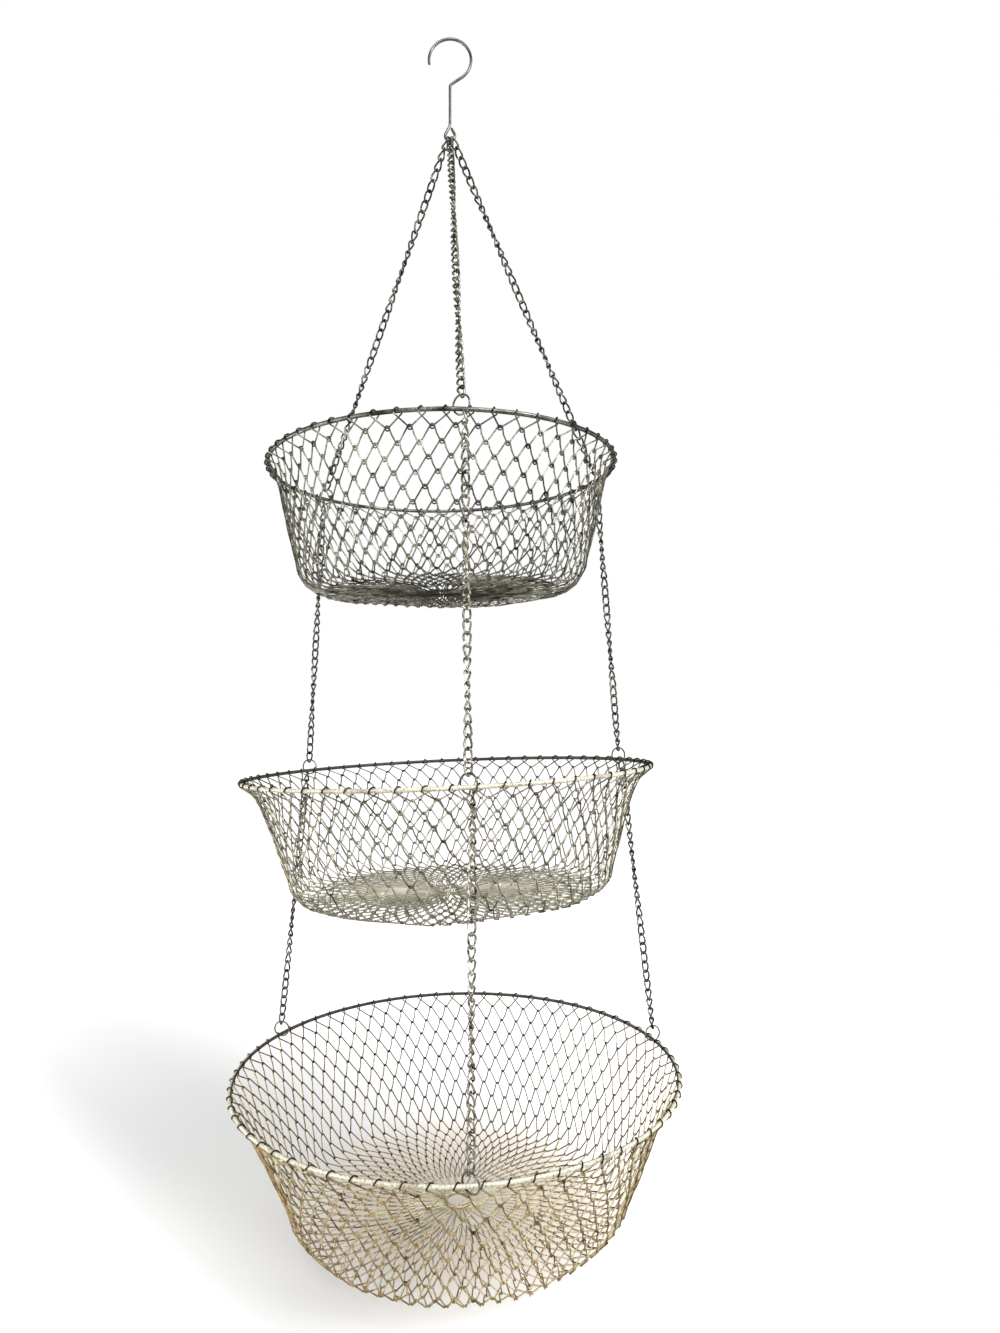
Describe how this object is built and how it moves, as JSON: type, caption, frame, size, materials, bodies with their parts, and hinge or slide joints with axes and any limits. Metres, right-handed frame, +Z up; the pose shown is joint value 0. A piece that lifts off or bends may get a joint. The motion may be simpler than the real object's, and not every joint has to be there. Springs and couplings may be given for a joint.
{
  "type": "three-tier hanging wire basket",
  "caption": "Hanging fruit basket: round looped-wire bowls of growing size, hung one below another on twisted chains from a wire hook.",
  "frame": {"origin": "seat of the hook: inside top of the hook's bend, where it rests on what carries it", "axes": "+Z up, +X to the right and +Y away from the viewer, who faces the front chain"},
  "size_m": [0.3244, 0.3273, 0.8593],
  "materials": {
    "hook_wire": "dull, lightly tarnished",
    "chain_wire": "bright tinned wire with dark hollows",
    "rim_wire": "smooth, warm worn plating",
    "ring_wire": "dull plated wire",
    "top_mesh_wire": "dull grey-olive plating",
    "middle_mesh_wire": "dull olive-tan plating",
    "bottom_mesh_wire": "warm straw-coloured plating"
  },
  "bodies": {
    "hook": {"hook": "hook_wire"},
    "top_basket": {"chain_upper_front": "chain_wire", "chain_upper_left": "chain_wire", "chain_upper_right": "chain_wire", "top_rim": "rim_wire", "top_mesh_row_1": "top_mesh_wire", "top_mesh_row_2": "top_mesh_wire", "top_mesh_row_3": "top_mesh_wire", "top_mesh_row_4": "top_mesh_wire", "top_mesh_base": "top_mesh_wire", "top_centre_ring": "top_mesh_wire", "top_ring_front": "ring_wire", "top_ring_left": "ring_wire", "top_ring_right": "ring_wire"},
    "middle_chain_front": {"chain_middle_front": "chain_wire"},
    "middle_chain_left": {"chain_middle_left": "chain_wire"},
    "middle_chain_right": {"chain_middle_right": "chain_wire"},
    "middle_basket": {"middle_rim": "rim_wire", "middle_mesh_row_1": "middle_mesh_wire", "middle_mesh_row_2": "middle_mesh_wire", "middle_mesh_row_3": "middle_mesh_wire", "middle_mesh_row_4": "middle_mesh_wire", "middle_mesh_base": "middle_mesh_wire", "middle_centre_ring": "middle_mesh_wire", "middle_ring_front": "ring_wire", "middle_ring_left": "ring_wire", "middle_ring_right": "ring_wire"},
    "lower_chain_front": {"chain_lower_front": "chain_wire"},
    "lower_chain_left": {"chain_lower_left": "chain_wire"},
    "lower_chain_right": {"chain_lower_right": "chain_wire"},
    "bottom_basket": {"bottom_rim": "rim_wire", "bottom_mesh_row_1": "bottom_mesh_wire", "bottom_mesh_row_2": "bottom_mesh_wire", "bottom_mesh_row_3": "bottom_mesh_wire", "bottom_mesh_row_4": "bottom_mesh_wire", "bottom_mesh_base": "bottom_mesh_wire", "bottom_centre_ring": "bottom_mesh_wire", "bottom_ring_front": "ring_wire", "bottom_ring_left": "ring_wire", "bottom_ring_right": "ring_wire"}
  },
  "joints": [
    {"name": "suspension_swing", "type": "hinge", "parent": "hook", "child": "top_basket", "pos_m": [0, 0, -0.07359], "axis": [1, 0, 0], "range_deg": [-15, 15]},
    {"name": "middle_sway", "type": "hinge", "parent": "top_basket", "child": "middle_chain_front", "pos_m": [0.00868, -0.12698, -0.31951], "axis": [0, 1, 0], "range_deg": [-12, 12]},
    {"name": "middle_left_chain_sway", "type": "hinge", "parent": "top_basket", "child": "middle_chain_left", "pos_m": [-0.10542, 0.08264, -0.3201], "axis": [0, 1, 0], "range_deg": [-12.5, 12.5]},
    {"name": "middle_right_chain_sway", "type": "hinge", "parent": "top_basket", "child": "middle_chain_right", "pos_m": [0.11531, 0.04313, -0.31728], "axis": [0, 1, 0], "range_deg": [-12.5, 12.5]},
    {"name": "middle_basket_level", "type": "hinge", "parent": "middle_chain_front", "child": "middle_basket", "pos_m": [0.01027, -0.14713, -0.5293], "axis": [0, 1, 0], "range_deg": [-12.5, 12.5]},
    {"name": "bottom_sway", "type": "hinge", "parent": "middle_basket", "child": "lower_chain_front", "pos_m": [0.0127, -0.14857, -0.54049], "axis": [0, 1, 0], "range_deg": [-12, 12]},
    {"name": "bottom_left_chain_sway", "type": "hinge", "parent": "middle_basket", "child": "lower_chain_left", "pos_m": [-0.12077, 0.09329, -0.54575], "axis": [0, 1, 0], "range_deg": [-12.5, 12.5]},
    {"name": "bottom_right_chain_sway", "type": "hinge", "parent": "middle_basket", "child": "lower_chain_right", "pos_m": [0.13717, 0.05523, -0.53391], "axis": [0, 1, 0], "range_deg": [-12.5, 12.5]},
    {"name": "bottom_basket_level", "type": "hinge", "parent": "lower_chain_front", "child": "bottom_basket", "pos_m": [0.01118, -0.16105, -0.74615], "axis": [0, 1, 0], "range_deg": [-12.5, 12.5]}
  ],
  "couplings": [
    {"joint": "middle_left_chain_sway", "follows": "middle_sway", "ratio": 0.98378},
    {"joint": "middle_right_chain_sway", "follows": "middle_sway", "ratio": 1.0191},
    {"joint": "middle_basket_level", "follows": "middle_sway", "ratio": -0.86994},
    {"joint": "bottom_left_chain_sway", "follows": "bottom_sway", "ratio": 1.0074},
    {"joint": "bottom_right_chain_sway", "follows": "bottom_sway", "ratio": 0.98882},
    {"joint": "bottom_basket_level", "follows": "bottom_sway", "ratio": -0.86477}
  ]
}
